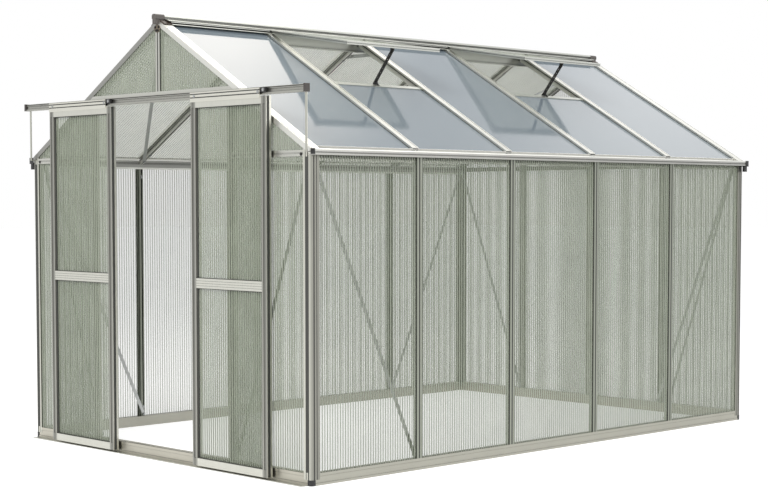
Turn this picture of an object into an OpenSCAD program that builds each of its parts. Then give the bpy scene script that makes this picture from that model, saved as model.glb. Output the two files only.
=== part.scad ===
// Aluminium greenhouse with twin-wall glazing, two roof vents and a pair of sliding doors.
// X runs across the gables, Y along the ridge with the doors at -Y, Z up from the ground.

/* [Building] */
// Width over the side wall posts
width = 2120; // [1800:10:3200]
// Number of glazed bays along each side
bays = 5; // [4:1:9]
// Spacing of the glazing bars
bay = 620; // [500:5:760]
// Height of the roof surface at the outer face of the side walls
eave_height = 1414; // [1300:1:1900]
// Slope of the roof in degrees
pitch = 30; // [24:1:38]

/* [Profiles] */
// Width of a glazing bar's outer cap
cap_w = 30; // [26:1:40]
// Thickness of a glazing bar's outer cap
cap_t = 4; // [3:0.5:6]
// Width of a rafter's outer cap
rafter_cap = 40; // [32:1:48]
// How far the caps on the roof stand above the roof surface
cap_rise = 7; // [5:0.5:12]
// Width of the verge's cap on the roof
verge_cap = 50; // [42:1:60]
// Height of the verge's face on the gable
verge_face = 24; // [23:1:36]
// Overall depth of a glazing bar
bar_depth = 30; // [26:1:40]
// Wall thickness of the extrusions
skin = 3; // [2:0.5:4]
// Length of each leg of a corner post
corner_leg = 48; // [42:1:60]
// Distance from a gable's outer face to the first bay line
corner_inset = 24; // [20:1:30]
// Height of the base rails
base_h = 52; // [40:1:80]
// Depth of the base rails
base_d = 40; // [34:1:60]

/* [Glazing] */
// Thickness of the twin-wall sheets
sheet = 6; // [4:0.5:10]
// Gap between a sheet's edge and the web beside it
sheet_gap = 1; // [0.5:0.5:3]

/* [Gutters] */
// How far a gutter stands out from the side wall
gutter_out = 33; // [26:1:60]
// Height of a gutter
gutter_h = 27; // [24:1:40]
// Height of a gutter's rim above the level where the roof meets the wall
gutter_rise = 6; // [0:1:6]
// Height of the eave plate inside the wall
plate_h = 25; // [20:1:40]
// Length of a gutter's outlet piece
outlet_l = 22; // [18:1:30]

/* [Ridge] */
// Height of the ridge's crest above its wings
crest_h = 27; // [20:1:36]
// Width of the ridge's crest
crest_w = 28; // [24:1:36]
// How far the ridge's wings reach out from its middle
wing_x = 43; // [36:1:60]
// How far the ridge's end caps stand out from the gables
ridge_past = 20; // [10:1:30]

/* [Doors] */
// Distance between the centre lines of the door jambs
doorway_w = 1050; // [900:10:1200]
// Width of one door leaf
leaf_w = 525; // [460:5:620]
// Foot of the rail over the doors, above the eave
rail_rise = 243; // [200:1:320]
// Height of the door rail
rail_h = 30; // [26:1:40]
// Distance that the door rail runs past the left side wall
rail_past = 33; // [20:1:33]
// How far the left leaf stands open
left_open = 325; // [0:5:520]
// How far the right leaf stands open
right_open = 292; // [0:1:520]
// Clearance round the moving leaves
leaf_gap = 8; // [6:0.5:12]
// Thickness of a door leaf
leaf_d = 28; // [22:1:36]
// Width of a leaf's stiles and rails
stile = 34; // [28:1:44]
// Height of the middle of a leaf's middle rail
mid_rail_z = 834; // [600:1:1100]
// Diameter of the hanger wheels
wheel_d = 18; // [14:1:22]

/* [Vents] */
// Bays that have a vent on the right slope, counted from the front
vent_bays = [2, 4];
// Length of a vent along the slope
vent_l = 545; // [400:5:620]
// Distance from the roof's apex down the slope to the sill under a vent
vent_opening = 542; // [400:2:600]
// Angle by which the vents stand open
vent_angle = 21; // [5:1:35]
// Width of the vent frame's members
vent_rail = 28; // [20:1:36]
// Length of the stay bar that props a vent
stay_l = 360; // [300:5:420]

/* [Braces] */
// Width of the flat braces
brace_w = 18; // [12:1:26]
// Thickness of the flat braces
brace_t = 2; // [1.5:0.5:3]

/* [Hidden] */
$fn = 24;

alu = "#b9bbb8";
alu_dark = "#8d8f8c";
black = "#2b2b2b";
grey = "#5b5a57";
bronze = "#7a7160";
clear = "#d9e2dd";

cos_p = cos(pitch);
sin_p = sin(pitch);
tan_p = tan(pitch);
half_w = width / 2;
length = bays * bay + 2 * corner_inset;
slope_l = half_w / cos_p;
apex_z = eave_height + half_w * tan_p;
// Hairline gap where one piece seats on another, and the play of a loose fit
seat = 0.25;
play = 0.5;
// Depth from a wall's outer face to the back of its sheets
sheet_in = cap_t + sheet;

// Doors, measured out from the front gable's outer face
leaf_out = leaf_gap + leaf_d;
hanger_t = 3;
rail_back = 6;
rail_d = 18;
track_t = 3;
track_out = leaf_out - 5;
rail_cap_l = 12;
rail_left = -half_w - rail_past + rail_cap_l;
rail_right = half_w - rail_cap_l;
leaf_foot = track_t + leaf_gap;
rail_z = eave_height + rail_rise;
leaf_top = rail_z - track_t - 5;

// The doors reach further forward than anything at the back, which sets the body back a little
front_reach = leaf_out + hanger_t;
front_y = -(length + ridge_past - front_reach) / 2;
back_y = front_y + length;

// Edges of the sheets beside a corner and a bar, and the width of a bar's bolt slot
corner_edge = bar_depth + sheet_gap;
slot_w = 18;
bar_edge = skin / 2 + sheet_gap;
wall_top = eave_height + gutter_rise - gutter_h;
plate_z = wall_top + skin - plate_h;
// The eave plate lies behind the wall's sheets and starts behind the verges
plate_face = sheet_in + play;
plate_end = 19;
// Lower ends of the rafters and of the roof's sheets, in from the wall's outer face
eave_in = 27;
foot_s = eave_in / cos_p + 1;
sheet_foot = base_h - 10;
foot_h = 25;
foot_w = 24;
// The leaves' middle rail
mid_h = 44;
// Holes for the bolts in the flat braces, their stand-off behind the bars, and how far a brace's
// end lies from its corner
bolt_d = 6;
brace_back = 2;
brace_in = bar_depth + brace_back + brace_t + brace_w / 2 + 3;
// Gable members, and how far they and the sheets' edges lie below the roof surface
verge_box_d = 18;
verge_in = verge_box_d + 13;
verge_low = verge_face - cap_rise;
verge_drop = verge_low + play;
edge_drop = verge_low - 2.5;
transom_h = 26;
eave_bar_z = eave_height - transom_h;
header_h = 46;
header_z = rail_z + rail_h + 17 - header_h;
jamb_x = doorway_w / 2;
// Head of the sheets and of the rafters under the ridge, along the slope
ridge_gap = 6;
web_x = 3;
head_s = slope_l - ridge_gap;
sheet_head = min(head_s - 4, slope_l - (web_x + play + sheet_in * sin_p) / cos_p);
// The vents hang over the rafters' caps at the ridge's wings, where their lower corners clear the caps
// and the ridge; a sill crosses the bay under them
vent_gap = 3;
vent_t = 16;
vent_a = pitch - vent_angle;
vent_x = max(wing_x + 3, wing_x + vent_t * sin(vent_a));
vent_low = vent_t * (cos(vent_a) + sin(vent_a) * tan_p);
vent_z = apex_z - vent_x * tan_p + cap_rise / cos_p + max(vent_t + 2, vent_low + play);
sill_s = slope_l - vent_opening;
wing_z = vent_z + 1;
crest_z = wing_z + skin + crest_h;
// The ridge runs between the inner flanges of the two verges, where its end caps begin
ridge_in = max(verge_in + 1, bar_depth + 2);
neck_w = 22;
neck_z = apex_z - 14;

function bay_y(k) = front_y + corner_inset + k * bay;
// Height of the top face of the ridge's flanges at a distance x from the middle
function flange_z(x) = apex_z - x * tan_p + (cap_rise + play + skin) / cos_p;
function has_vent(k) = len([for (v = vent_bays) if (v == k) v]) > 0;

// ---------- placing ----------
module left_slope() {
  translate([-half_w, 0, eave_height]) rotate([0, -pitch, 0]) children();
}

// Frame on a roof slope: X up the slope from the eave, Y along the ridge, Z out of the roof
module slope(side) {
  if (side > 0) mirror([1, 0, 0]) left_slope() children();
  else left_slope() children();
}

// Upright extrusion whose outline's +Y faces outwards at the given heading
module upright(x, y, z0, z1, heading) {
  translate([x, y, z0]) rotate([0, 0, heading]) linear_extrude(z1 - z0) children();
}

// Extrusion from x0 to x1 of an outline drawn in Y and Z
module along_x(x0, x1) {
  translate([x0, 0, 0]) rotate([90, 0, 90]) linear_extrude(x1 - x0) children();
}

// Extrusion from y0 to y1 of an outline drawn in X and Z
module along_y(y0, y1) {
  translate([0, y1, 0]) rotate([90, 0, 0]) linear_extrude(y1 - y0) children();
}

// The gable's area below a line that lies the given depth under the roof surface
module gable_area(drop) {
  low = eave_height - drop / cos_p;
  top = apex_z - drop / cos_p;
  polygon([[-half_w, -1], [half_w, -1], [half_w, low], [0, top], [-half_w, low]]);
}

// Keeps what lies under the verge; y0 and y1 bound the gable's thickness
module under_verge(drop, y0, y1) {
  intersection() {
    union() children();
    along_y(y0, y1) gable_area(drop);
  }
}

// Flat strip with round ends between two points of a plane, drilled at least at its ends
module strip_2d(a, b, holes = 2) {
  d = b - a;
  translate(a) rotate(atan2(d[1], d[0])) difference() {
    union() {
      translate([0, -brace_w / 2]) square([norm(d), brace_w]);
      circle(d = brace_w);
      translate([norm(d), 0]) circle(d = brace_w);
    }
    for (i = [0 : holes - 1]) translate([i * norm(d) / (holes - 1), 0]) circle(d = bolt_d);
  }
}

// ---------- outlines ----------
// Glazing bar: outer cap, web between the sheets, inner flange and a bolt slot behind it
module bar_outline() {
  slot_y = -sheet_in - skin;
  groove_w = 8;
  difference() {
    translate([-cap_w / 2, -cap_t]) square([cap_w, cap_t]);
    translate([-groove_w / 2, -2]) square([groove_w, 3]);
  }
  translate([-skin / 2, -sheet_in - 1]) square([skin, sheet + 2]);
  translate([-cap_w / 2 + 2, slot_y]) square([cap_w - 4, skin]);
  difference() {
    translate([-slot_w / 2, -bar_depth]) square([slot_w, bar_depth + slot_y + 1]);
    translate([-slot_w / 2 + skin, -bar_depth + skin])
      square([slot_w - 2 * skin, bar_depth + slot_y - skin]);
    translate([-4, -bar_depth - 1]) square([8, skin + 2]);
  }
}

// Rafter: a glazing bar with a hollow raised cap
module rafter_outline() {
  bar_outline();
  difference() {
    translate([-rafter_cap / 2, -cap_t]) square([rafter_cap, cap_rise + cap_t]);
    translate([-rafter_cap / 2 + skin, 0]) square([rafter_cap - 2 * skin, cap_rise - skin]);
    // groove that sets off the cap's far lip
    translate([rafter_cap / 4, cap_rise - 1]) square([skin, 2]);
  }
}

// Transom: a cap, a web and an inner flange, drawn with its foot at y = 0 and its face at x = 0
module transom_outline(h) {
  mid = h / 2;
  difference() {
    translate([-cap_t, 0]) square([cap_t, h]);
    translate([-1.5, mid - 3]) square([2.5, 6]);
  }
  translate([-bar_depth, mid - skin / 2]) square([bar_depth - 1, skin]);
  translate([-sheet_in - skin, 0]) square([skin, h]);
}

// Corner post seen from above: outer corner at the origin, legs along -X and +Y
module corner_outline() {
  nose = 14;
  groove = [nose, 31];
  groove_w = [7, 4];
  groove_d = 2;
  inner = sheet_in + skin;
  difference() {
    union() {
      translate([-nose, nose]) circle(r = nose, $fn = 48);
      translate([-corner_leg, 0]) square([corner_leg - nose, inner]);
      translate([-inner, nose]) square([inner, corner_leg - nose]);
      translate([-bar_depth + 2, nose - 3]) square([bar_depth - nose, bar_depth - nose + 1]);
    }
    // two grooves along each face, the wide one beside the round nose
    for (i = [0, 1]) {
      translate([-groove[i] - groove_w[i], -1]) square([groove_w[i], groove_d + 1]);
      translate([-groove_d, groove[i]]) square([groove_d + 1, groove_w[i]]);
    }
    // rebates for the edges of the sheets
    translate([-corner_leg - 1, cap_t]) square([corner_leg - bar_depth + 1, sheet]);
    translate([-sheet_in, bar_depth]) square([sheet, corner_leg]);
  }
}

// Base rail: outer face at x = 0, foot at y = 0, with a slot for the feet of the sheets
module base_outline() {
  difference() {
    translate([-base_d, 0]) square([base_d, base_h]);
    // sunk middle of the outer face
    translate([-1.5, 10]) square([2.5, base_h - 22]);
    translate([-sheet_in, sheet_foot]) square([sheet, base_h]);
    translate([-base_d + skin, skin])
      square([base_d - sheet_in - 2 * skin, base_h - 2 * skin]);
    translate([-sheet_in, skin]) square([sheet_in - skin, sheet_foot - 2 * skin]);
  }
}

// Gutter outside the wall's face at x = 0, with its floor's underside at y = 0
module gutter_outline() {
  rim = 6;
  bead = 8;
  square([gutter_out - 1, skin]);
  translate([gutter_out - skin - 1, 0]) square([skin, gutter_h]);
  translate([gutter_out - rim, gutter_h - skin]) square([rim, skin]);
  // outer face: a bead at the foot, then a groove under the upper band
  translate([gutter_out - 2, 0]) square([2, bead]);
  translate([gutter_out - 2, bead + 6]) square([2, gutter_h - bead - 6]);
}

// Eave plate that the gutter's floor runs in to, with an upstand under the ends of the roof's sheets
module plate_outline() {
  difference() {
    translate([-bar_depth, skin - plate_h]) square([bar_depth - plate_face, plate_h]);
    translate([-bar_depth + skin, 2 * skin - plate_h])
      square([bar_depth - plate_face - 2 * skin, plate_h - 2 * skin]);
  }
  translate([-plate_face - 1, play]) square([plate_face + 2, skin - play]);
  translate([-eave_in + 1, 1]) square([skin, 20]);
}

// Ridge: a crest on a neck, two wings, and two flanges over the rafters on a central web, in X and Z
module ridge_outline() {
  web_z = apex_z - 66;
  foot_x = 12;
  flange_x = wing_x - 1;
  drop = skin / cos_p;
  chamfer = 4;
  crest_t = 10;
  a = crest_w / 2;
  b = 6;
  root_z = flange_z(b) + skin + 2;
  half = [
    [foot_x, web_z], [foot_x, web_z + skin], [web_x, web_z + skin], [web_x, flange_z(web_x) - drop],
    [flange_x, flange_z(flange_x) - drop], [flange_x, flange_z(flange_x)], [b, flange_z(b)],
    [b, root_z - skin], [wing_x, wing_z], [wing_x, wing_z + skin], [b, root_z],
    [b, crest_z - crest_t], [a, crest_z - crest_t], [a, crest_z - chamfer], [a - chamfer, crest_z]
  ];
  polygon(concat(half, [for (i = [len(half) - 1 : -1 : 0]) [-half[i][0], half[i][1]]]));
}

// Verge: face on the gable, raised hollow cap on the roof and a box behind the face
module verge_outline() {
  difference() {
    translate([0, -verge_low]) square([skin, verge_face]);
    // groove along the middle of the face
    translate([-1, -verge_low + verge_face / 2 - 2]) square([2, 4]);
  }
  translate([0, -cap_t]) square([verge_cap, cap_t]);
  difference() {
    translate([0, -1]) square([verge_cap, cap_rise + 1]);
    translate([skin, -2]) square([verge_cap - 2 * skin, cap_rise + 2 - skin]);
    // groove that sets off the corner
    translate([5, cap_rise - 1.5]) square([3, 2.5]);
  }
  difference() {
    translate([0, -edge_drop + 1]) square([verge_box_d, edge_drop - 2]);
    translate([skin, -edge_drop + 1 + skin])
      square([verge_box_d - 2 * skin, edge_drop - cap_t - 1 - skin]);
  }
  translate([verge_box_d - 1, -sheet_in - skin]) square([verge_in - verge_box_d + 1, skin]);
}

// ---------- base ----------
// Rail along X from 0 to l, mitred behind the corner feet and notched under the corner posts
module base_rail(l) {
  a = foot_w + play;
  b = base_d + seat;
  difference() {
    intersection() {
      along_x(0, l) base_outline();
      linear_extrude(base_h) polygon([[a, 1], [a, -a], [b, -b], [l - b, -b], [l - a, -a], [l - a, 1]]);
    }
    for (x = [-1, l - corner_leg - play])
      translate([x, -base_d - 1, foot_h]) cube([corner_leg + 1.5, base_d + 2, base_h]);
  }
}

module base_front() {
  color(alu) translate([half_w, front_y, 0]) rotate([0, 0, 180]) base_rail(width);
}

module base_back() {
  color(alu) translate([-half_w, back_y, 0]) base_rail(width);
}

module base_sides() {
  color(alu) {
    translate([half_w, back_y, 0]) rotate([0, 0, -90]) base_rail(length);
    translate([-half_w, front_y, 0]) rotate([0, 0, 90]) base_rail(length);
  }
}

// The four corners, each with its own copy of what is drawn at the front right one
module at_corners() {
  for (side = [0, 1]) mirror([side, 0, 0]) {
    translate([half_w, front_y, 0]) children();
    translate([half_w, back_y, 0]) mirror([0, 1, 0]) children();
  }
}

module corner_feet() {
  nose = foot_w / 2;
  color(black) at_corners() linear_extrude(foot_h) union() {
    translate([-nose, nose]) circle(r = nose, $fn = 48);
    translate([-foot_w, 0]) square([foot_w - nose, foot_w]);
    translate([-foot_w, nose]) square([foot_w, foot_w - nose]);
  }
}

module door_guide() {
  color(alu_dark) translate([-half_w + foot_w, front_y - leaf_out, 0])
    cube([width - 2 * foot_w, leaf_out, track_t]);
}

// ---------- posts ----------
module corner_posts() {
  top_z = eave_height + corner_leg;
  color(alu) difference() {
    at_corners() intersection() {
      translate([0, 0, foot_h]) linear_extrude(top_z - foot_h) corner_outline();
      // level under the eave, but up to the verge's underside behind the gable's face
      union() {
        translate([-corner_leg, 0, 0]) cube([corner_leg, corner_leg, wall_top]);
        translate([-half_w, 0, 0]) along_y(0, verge_box_d) gable_area(verge_drop);
      }
    }
    plate_room(plate_end - play);
  }
}

// Room for the eave plates behind the outer skin of the side walls
module plate_room(y_in) {
  for (x = [-half_w + plate_face - seat, half_w - bar_depth - 1])
    translate([x, front_y + y_in, plate_z])
      cube([bar_depth + 1 + seat - plate_face, length - 2 * y_in, plate_h]);
}

module wall_posts(side) {
  difference() {
    for (k = [1 : bays - 1])
      upright(side * half_w, bay_y(k), base_h, wall_top, -90 * side) bar_outline();
    plate_room(plate_end - play);
  }
}

module posts_left() {
  color(alu) wall_posts(-1);
}

module posts_right() {
  color(alu) wall_posts(1);
}

module door_jambs() {
  color(alu) under_verge(verge_drop, front_y - 1, front_y + bar_depth + 1)
    for (x = [-jamb_x, jamb_x]) upright(x, front_y, base_h, header_z, 180) bar_outline();
}

module gable_posts_back() {
  color(alu) under_verge(verge_drop, back_y - bar_depth - 1, back_y + 1)
    for (x = [-jamb_x, 0, jamb_x]) upright(x, back_y, base_h, apex_z, 0) bar_outline();
}

// ---------- gable bars ----------
module door_header() {
  color(alu) under_verge(verge_drop, front_y - 1, front_y + bar_depth + 1)
    translate([0, front_y, header_z]) mirror([0, 1, 0])
      along_x(-half_w, half_w) transom_outline(header_h);
}

// Transom at the eave between a corner and a jamb line, drawn for a back gable at y = 0
module eave_bar(x0, x1) {
  translate([0, 0, eave_bar_z]) along_x(x0, x1) transom_outline(transom_h);
}

module gable_bars_front() {
  edge = half_w - corner_leg - seat;
  color(alu) under_verge(verge_drop, front_y - 1, front_y + bar_depth + 1) {
    translate([0, front_y, 0]) mirror([0, 1, 0]) {
      eave_bar(jamb_x + cap_w / 2, edge);
      eave_bar(-edge, -jamb_x - cap_w / 2);
    }
    upright(0, front_y, header_z + header_h, apex_z, 180) bar_outline();
  }
}

module gable_bars_back() {
  edge = half_w - corner_leg - seat;
  x = [-edge, -jamb_x, 0, jamb_x, edge];
  color(alu) under_verge(verge_drop, back_y - bar_depth - 1, back_y + 1) translate([0, back_y, 0])
    for (i = [0 : 3])
      eave_bar(x[i] + (i > 0 ? cap_w / 2 : 0), x[i + 1] - (i < 3 ? cap_w / 2 : 0));
}

// ---------- eaves ----------
module gutter(side) {
  outlet = outlet_l + play;
  mirror([side > 0 ? 0 : 1, 0, 0]) translate([half_w, 0, wall_top]) {
    along_y(front_y + (side < 0 ? outlet : 0), back_y - (side > 0 ? outlet : 0)) gutter_outline();
    along_y(front_y + plate_end, back_y - plate_end) plate_outline();
  }
}

module gutter_left() {
  color(alu) gutter(-1);
}

module gutter_right() {
  color(alu) gutter(1);
}

// Outlet piece with a stub at one end of each gutter and a plug at the other, as turned by half a turn
module gutter_end_caps() {
  stub_d = 24;
  stub_l = 28;
  wall = 3;
  fit = 1.25;
  foot = 3.5;
  w = gutter_out - fit + wall;
  h = gutter_h + foot;
  color(black) for (side = [0, 1]) mirror([side, 0, 0]) translate([half_w, 0, wall_top]) {
    // stepped plug a little inside the trough's end
    for (step = [[2 * skin + 2, gutter_out - skin - 2], [skin, gutter_out - 3 * skin]])
      translate([play, side == 0 ? front_y + 2 : back_y - 7, skin + seat])
        cube([step[1], 5, gutter_h - step[0] - seat]);
    translate([fit, side == 0 ? back_y - outlet_l : front_y, -foot]) difference() {
      union() {
        cube([w, outlet_l, h]);
        translate([w / 2, outlet_l / 2, -stub_l]) cylinder(d = stub_d, h = stub_l + 1);
      }
      translate([wall, side == 0 ? -1 : wall, wall]) cube([w - 2 * wall, outlet_l - wall + 1, h]);
      translate([w / 2, outlet_l / 2, -stub_l - 1]) cylinder(d = stub_d - 2 * wall, h = stub_l + wall + 2);
    }
  }
}

// ---------- roof frame ----------
// Rafter profiles on one slope, cut plumb behind the upstand and level on the eave plate
module rafters(side) {
  difference() {
    slope(side) for (k = [1 : bays - 1])
      translate([0, bay_y(k), 0]) rotate([90, 0, 90]) linear_extrude(head_s - 20) rafter_outline();
    translate([side > 0 ? half_w - eave_in : -half_w - bar_depth, front_y, plate_z])
      cube([eave_in + bar_depth, length, 2 * bar_depth + plate_h]);
    translate([side > 0 ? half_w - bar_depth - 1 : -half_w - 1, front_y, plate_z])
      cube([bar_depth + 2, length, plate_h + seat]);
  }
}

module rafters_left() {
  color(alu) rafters(-1);
}

module rafters_right() {
  color(alu) rafters(1);
}

// Verge rafters, cut plumb at the wall's face and at the middle, and level on the corner posts
module verge_rafters() {
  low = 60;
  gap = play;
  color(alu) for (side = [0, 1]) mirror([side, 0, 0]) difference() {
    slope(1) translate([-low, 0, 0]) {
      translate([0, front_y, 0]) rotate([90, 0, 90]) linear_extrude(slope_l + 2 * low) verge_outline();
      translate([0, back_y, 0]) mirror([0, 1, 0])
        rotate([90, 0, 90]) linear_extrude(slope_l + 2 * low) verge_outline();
    }
    translate([half_w - gap / 2, front_y - 1, wall_top - 2 * low]) cube([2 * low, length + 2, 4 * low]);
    translate([half_w - corner_leg - gap, front_y - 1, wall_top - low])
      cube([corner_leg + 1 + gap, length + 2, low + gap / 2]);
    // room for the gutter's inner side
    translate([half_w - bar_depth - gap, front_y + verge_box_d, wall_top])
      cube([bar_depth, length - 2 * verge_box_d, gutter_h + gap]);
    // each slope stops at the middle, clear of the ridge's end caps
    translate([-2 * low, front_y - 1, apex_z - 2 * low]) cube([2 * low + gap / 2, length + 2, 4 * low]);
    translate([-1, front_y - 1, neck_z - gap]) cube([1 + neck_w / 2 + gap, length + 2, 2 * low]);
  }
}

module ridge_beam() {
  // hinge strip under the wing, in the bays without a vent
  strip_w = 10;
  strip_x = wing_x - 3 - strip_w;
  strip_z = flange_z(strip_x) + seat;
  color(alu) {
    along_y(front_y + ridge_in, back_y - ridge_in) ridge_outline();
    for (k = [1 : bays], side = [0, 1]) if (side == 1 || !has_vent(k)) mirror([side, 0, 0])
      along_y(k == 1 ? front_y + verge_cap : bay_y(k - 1) + vent_gap,
        k == bays ? back_y - verge_cap : bay_y(k) - vent_gap)
        translate([strip_x, strip_z]) square([strip_w, wing_z - 2 - strip_z]);
  }
}

// Hood over each end of the ridge: a crest like the ridge's own on a narrower neck
module ridge_end_caps() {
  a = crest_w / 2 + 1.5;
  r = 8;
  l = ridge_past + ridge_in - play;
  low = wing_z + crest_h / 3;
  top = crest_z + 1;
  color(grey) for (y = [front_y - ridge_past, back_y + ridge_past - l]) {
    along_y(y, y + l) polygon([
      [-a, low], [a, low], [a, top - r], [a - r / 3, top - r / 3], [a - r, top],
      [r - a, top], [r / 3 - a, top - r / 3], [-a, top - r]
    ]);
    translate([-neck_w / 2, y, apex_z + 1]) cube([neck_w, l, low - apex_z]);
  }
  // the neck reaches lower outside the sheets
  neck_l = ridge_past + verge_box_d - 1;
  color(grey) for (y = [front_y - ridge_past, back_y + ridge_past - neck_l])
    translate([-neck_w / 2, y, neck_z]) cube([neck_w, neck_l, apex_z + 1.5 - neck_z]);
}

// Plates that tie the two verges and the middle bar of each gable together
module apex_gussets() {
  w = 50;
  h = 39;
  t = 2;
  color(bronze) translate([0, 0, apex_z - 15]) for (y = [front_y - t - seat, back_y + seat])
    along_y(y, y + t) polygon([
      [-w / 2, -h / 2], [-w / 3, -h / 7], [0, 0], [w / 3, -h / 7], [w / 2, -h / 2], [w / 4, -h * 0.86],
      [0, -h], [-w / 4, -h * 0.86]
    ]);
}

// Flat ties across the ridge, bolted to the slot side of two rafters on each slope
module collar_ties() {
  run = 96;
  depth = 23;
  z = apex_z - run * tan_p - depth / cos_p;
  color(alu_dark) for (k = [2, bays - 2])
    translate([0, bay_y(k) + slot_w / 2 + seat, 0]) along_y(0, brace_t) strip_2d([-run, z], [run, z], 9);
}

// Flat braces under the left slope, from the first post at each end up to the ridge
module roof_braces() {
  head = slope_l - 60;
  color(alu_dark) slope(-1) translate([0, 0, -bar_depth - brace_t]) linear_extrude(brace_t) {
    strip_2d([brace_in, bay_y(1)], [head, front_y + brace_in]);
    strip_2d([brace_in, bay_y(bays - 1)], [head, back_y - brace_in]);
  }
}

// Flat braces inside the walls' end bays and the gables' side panels, from a top corner down
module wall_braces() {
  z0 = base_h + 12;
  z1 = wall_top - 14;
  // the braces lie on the bars' backs
  inner = bar_depth + brace_back;
  color(alu_dark) {
    for (side = [0, 1]) mirror([side, 0, 0]) translate([half_w - inner - brace_t, 0, 0])
      along_x(0, brace_t) {
        strip_2d([front_y + brace_in, z1], [bay_y(1), z0]);
        strip_2d([back_y - brace_in, z1], [bay_y(bays - 1), z0]);
      }
    for (side = [0, 1], y = [front_y + inner + brace_t, back_y - inner - 2 * brace_t])
      mirror([side, 0, 0]) along_y(y, y + brace_t)
        strip_2d([half_w - brace_in, z1], [jamb_x, z0]);
  }
}

// ---------- vents ----------
module vent_sills() {
  color(alu) slope(1) for (k = vent_bays)
    translate([sill_s, 0, 0]) along_y(bay_y(k - 1) + rafter_cap / 2, bay_y(k) - rafter_cap / 2) {
      translate([-12, -cap_t]) square([24, cap_t]);
      translate([-2, -26]) square([skin, 23]);
      translate([-12, -sheet_in - skin]) square([10, skin]);
    }
}

// Frame of one vent: X down its length from the hinge, Y along the ridge, Z out of it
module in_vent(k) {
  translate([vent_x, bay_y(k - 1), vent_z]) rotate([0, vent_a, 0]) children();
}

module vent_frames() {
  color(alu) for (k = vent_bays) in_vent(k) difference() {
    translate([0, vent_gap, -vent_t]) cube([vent_l, bay - 2 * vent_gap, vent_t]);
    translate([vent_rail, vent_gap + vent_rail, -vent_t - 1])
      cube([vent_l - 2 * vent_rail, bay - 2 * vent_gap - 2 * vent_rail, vent_t + 2]);
    // groove along each side and the lower edge
    for (y = [vent_gap - 1, bay - vent_gap - 2]) translate([-1, y, -vent_t / 2 - 2]) cube([vent_l + 2, 3, 4]);
    translate([vent_l - 2, -1, -vent_t / 2 - 2]) cube([3, bay + 2, 4]);
  }
}

module vent_panes() {
  color(clear, 0.4) for (k = vent_bays) in_vent(k)
    translate([vent_rail + play, vent_gap + vent_rail + play, -vent_t / 2 - sheet / 2])
      cube([vent_l - 2 * vent_rail - 1, bay - 2 * vent_gap - 2 * vent_rail - 1, sheet]);
}

module vent_stays() {
  lug = 12;
  reach = vent_l - vent_rail / 2;
  top = [vent_x + reach * cos(vent_a) - (vent_t + lug) * sin(vent_a),
         vent_z - reach * sin(vent_a) - (vent_t + lug) * cos(vent_a)];
  sill = [half_w - (sill_s + 26) * cos_p, eave_height + (sill_s + 26) * sin_p];
  d = (sill - top) / norm(sill - top);
  color(grey) for (k = vent_bays)
    translate([0, bay_y(k) - bay / 2, 0]) along_y(-2, 2) strip_2d(top, top + d * stay_l, 15);
}

// ---------- sheets ----------
// Sheet standing in a side wall between two lines of the wall
module wall_sheets(side) {
  color(clear, 0.4) for (k = [1 : bays]) {
    y0 = k == 1 ? front_y + corner_edge : bay_y(k - 1) + bar_edge;
    y1 = k == bays ? back_y - corner_edge : bay_y(k) - bar_edge;
    translate([side > 0 ? half_w - sheet_in : -half_w + cap_t, y0, sheet_foot + play])
      cube([sheet, y1 - y0, wall_top - sheet_foot - play]);
  }
}

module panes_left() {
  wall_sheets(-1);
}

module panes_right() {
  wall_sheets(1);
}

// Sheet in a gable between x0 and x1 and between two levels, cut along the verge
module gable_sheet(y, x0, x1, z0, z1) {
  under_verge(edge_drop, y - 1, y + sheet + 1)
    translate([x0, y, z0]) cube([x1 - x0, sheet, z1 - z0]);
}

module gable_sheets(y, open) {
  edge = half_w - corner_edge;
  mid = transom_h / 2;
  z_low = [sheet_foot + play, eave_bar_z + mid - bar_edge];
  z_high = [eave_bar_z + mid + bar_edge, open ? header_z + header_h / 2 - bar_edge : apex_z];
  for (s = [-1, 1]) {
    x = [jamb_x + bar_edge, edge];
    for (z = [z_low, z_high])
      gable_sheet(y, s > 0 ? x[0] : -x[1], s > 0 ? x[1] : -x[0], z[0], z[1]);
    inner = [bar_edge, jamb_x - bar_edge];
    top_z = open ? header_z + header_h / 2 + bar_edge : z_high[0];
    wide = open ? half_w : inner[1];
    gable_sheet(y, s > 0 ? inner[0] : -wide, s > 0 ? wide : -inner[0], top_z, apex_z);
    if (!open) gable_sheet(y, s > 0 ? inner[0] : -inner[1], s > 0 ? inner[1] : -inner[0], z_low[0], z_low[1]);
  }
}

module panes_front() {
  color(clear, 0.4) gable_sheets(front_y + cap_t, true);
}

module panes_back() {
  color(clear, 0.4) gable_sheets(back_y - sheet_in, false);
}

module roof_sheets(side) {
  color(clear, 0.4) slope(side) for (k = [1 : bays]) {
    y0 = k == 1 ? front_y + verge_box_d + sheet_gap : bay_y(k - 1) + bar_edge;
    y1 = k == bays ? back_y - verge_box_d - sheet_gap : bay_y(k) - bar_edge;
    s1 = side > 0 && has_vent(k) ? sill_s - 3 : sheet_head;
    translate([foot_s + play, y0, -sheet_in]) cube([s1 - foot_s - play, y1 - y0, sheet]);
  }
}

// Channels that close the lower ends of the roof's sheets between the rafters
module sheet_end_strips() {
  lip = 12;
  t = 1.5;
  stand = 3;
  color(alu) for (side = [-1, 1]) slope(side) for (k = [1 : bays]) {
    y0 = k == 1 ? front_y + verge_cap + play : bay_y(k - 1) + rafter_cap / 2 + play;
    y1 = k == bays ? back_y - verge_cap - play : bay_y(k) - rafter_cap / 2 - play;
    translate([foot_s - t, y0, -sheet_in - t]) cube([t + seat, y1 - y0, sheet + 2 * t + stand + 2.5]);
    translate([foot_s - t, y0, -sheet_in - t]) cube([lip, y1 - y0, t]);
    translate([foot_s - t, y0, -cap_t]) cube([lip, y1 - y0, t]);
  }
}

module roof_panes_left() {
  roof_sheets(-1);
}

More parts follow.
